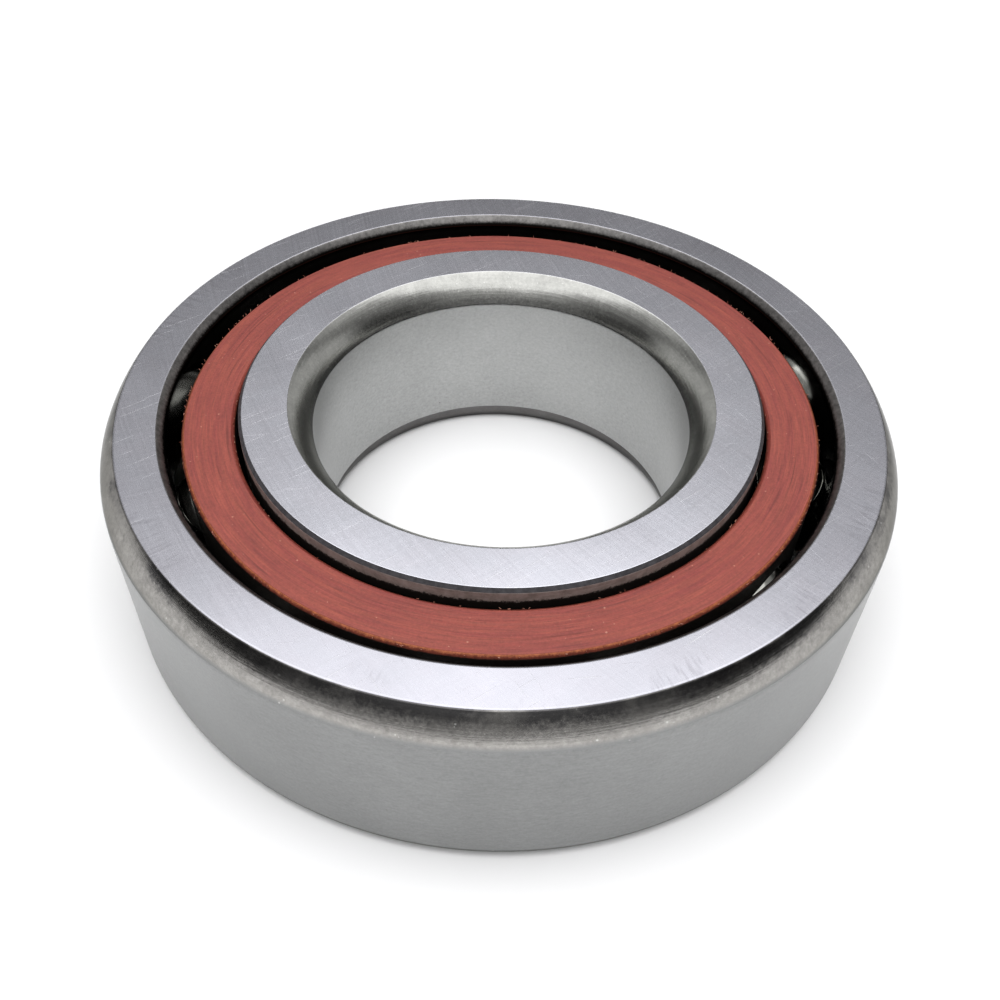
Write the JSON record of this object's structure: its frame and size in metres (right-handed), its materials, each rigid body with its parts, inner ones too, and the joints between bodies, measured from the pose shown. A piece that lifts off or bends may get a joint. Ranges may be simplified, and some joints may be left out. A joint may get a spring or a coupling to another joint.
{
  "type": "angular contact bearing",
  "caption": "Open single-row angular contact ball bearing: two ground steel rings, a machined fabric-phenolic cage and steel balls that carry radial and one-way axial load.",
  "frame": {"origin": "centre of the bearing's lower face, where the bearing axis meets the plane both rings stand on", "axes": "+Z along the bearing axis, towards the outer ring's thrust face (high shoulder); +X lies 21 degrees before ball_01, +Y completes the right-handed frame"},
  "size_m": [0.062, 0.062, 0.016],
  "materials": {
    "ring_steel": "hardened bearing steel, fine ground",
    "ball_steel": "hardened bearing steel, lapped to a mirror",
    "cage_phenolic": "cotton-fabric phenolic laminate, turned"
  },
  "bodies": {
    "outer_ring": {"outer_ring": "ring_steel"},
    "inner_ring": {"inner_ring": "ring_steel"},
    "cage": {"cage": "cage_phenolic"},
    "ball_01": {"ball_01": "ball_steel"},
    "ball_02": {"ball_02": "ball_steel"},
    "ball_03": {"ball_03": "ball_steel"},
    "ball_04": {"ball_04": "ball_steel"},
    "ball_05": {"ball_05": "ball_steel"},
    "ball_06": {"ball_06": "ball_steel"},
    "ball_07": {"ball_07": "ball_steel"},
    "ball_08": {"ball_08": "ball_steel"},
    "ball_09": {"ball_09": "ball_steel"},
    "ball_10": {"ball_10": "ball_steel"},
    "ball_11": {"ball_11": "ball_steel"},
    "ball_12": {"ball_12": "ball_steel"}
  },
  "joints": [
    {"name": "inner_ring_spin", "type": "hinge", "parent": "outer_ring", "child": "inner_ring", "pos_m": [0, 0, 0.008], "axis": [0, 0, 1], "continuous": true},
    {"name": "cage_spin", "type": "hinge", "parent": "outer_ring", "child": "cage", "pos_m": [0, 0, 0.008], "axis": [0, 0, 1], "continuous": true},
    {"name": "ball_01_spin", "type": "hinge", "parent": "cage", "child": "ball_01", "pos_m": [0.02147, 0.00824, 0.008], "axis": [-0.3945, -0.1515, 0.9063], "continuous": true},
    {"name": "ball_02_spin", "type": "hinge", "parent": "cage", "child": "ball_02", "pos_m": [0.01447, 0.01787, 0.008], "axis": [-0.266, -0.3284, 0.9063], "continuous": true},
    {"name": "ball_03_spin", "type": "hinge", "parent": "cage", "child": "ball_03", "pos_m": [0.0036, 0.02272, 0.008], "axis": [-0.0661, -0.4174, 0.9063], "continuous": true},
    {"name": "ball_04_spin", "type": "hinge", "parent": "cage", "child": "ball_04", "pos_m": [-0.00824, 0.02147, 0.008], "axis": [0.1515, -0.3945, 0.9063], "continuous": true},
    {"name": "ball_05_spin", "type": "hinge", "parent": "cage", "child": "ball_05", "pos_m": [-0.01787, 0.01447, 0.008], "axis": [0.3284, -0.266, 0.9063], "continuous": true},
    {"name": "ball_06_spin", "type": "hinge", "parent": "cage", "child": "ball_06", "pos_m": [-0.02272, 0.0036, 0.008], "axis": [0.4174, -0.0661, 0.9063], "continuous": true},
    {"name": "ball_07_spin", "type": "hinge", "parent": "cage", "child": "ball_07", "pos_m": [-0.02147, -0.00824, 0.008], "axis": [0.3945, 0.1515, 0.9063], "continuous": true},
    {"name": "ball_08_spin", "type": "hinge", "parent": "cage", "child": "ball_08", "pos_m": [-0.01447, -0.01787, 0.008], "axis": [0.266, 0.3284, 0.9063], "continuous": true},
    {"name": "ball_09_spin", "type": "hinge", "parent": "cage", "child": "ball_09", "pos_m": [-0.0036, -0.02272, 0.008], "axis": [0.0661, 0.4174, 0.9063], "continuous": true},
    {"name": "ball_10_spin", "type": "hinge", "parent": "cage", "child": "ball_10", "pos_m": [0.00824, -0.02147, 0.008], "axis": [-0.1515, 0.3945, 0.9063], "continuous": true},
    {"name": "ball_11_spin", "type": "hinge", "parent": "cage", "child": "ball_11", "pos_m": [0.01787, -0.01447, 0.008], "axis": [-0.3284, 0.266, 0.9063], "continuous": true},
    {"name": "ball_12_spin", "type": "hinge", "parent": "cage", "child": "ball_12", "pos_m": [0.02272, -0.0036, 0.008], "axis": [-0.4174, 0.0661, 0.9063], "continuous": true}
  ],
  "couplings": [
    {"joint": "cage_spin", "follows": "inner_ring_spin", "ratio": 0.40617},
    {"joint": "ball_01_spin", "follows": "inner_ring_spin", "ratio": -2.3297},
    {"joint": "ball_02_spin", "follows": "inner_ring_spin", "ratio": -2.3297},
    {"joint": "ball_03_spin", "follows": "inner_ring_spin", "ratio": -2.3297},
    {"joint": "ball_04_spin", "follows": "inner_ring_spin", "ratio": -2.3297},
    {"joint": "ball_05_spin", "follows": "inner_ring_spin", "ratio": -2.3297},
    {"joint": "ball_06_spin", "follows": "inner_ring_spin", "ratio": -2.3297},
    {"joint": "ball_07_spin", "follows": "inner_ring_spin", "ratio": -2.3297},
    {"joint": "ball_08_spin", "follows": "inner_ring_spin", "ratio": -2.3297},
    {"joint": "ball_09_spin", "follows": "inner_ring_spin", "ratio": -2.3297},
    {"joint": "ball_10_spin", "follows": "inner_ring_spin", "ratio": -2.3297},
    {"joint": "ball_11_spin", "follows": "inner_ring_spin", "ratio": -2.3297},
    {"joint": "ball_12_spin", "follows": "inner_ring_spin", "ratio": -2.3297}
  ]
}
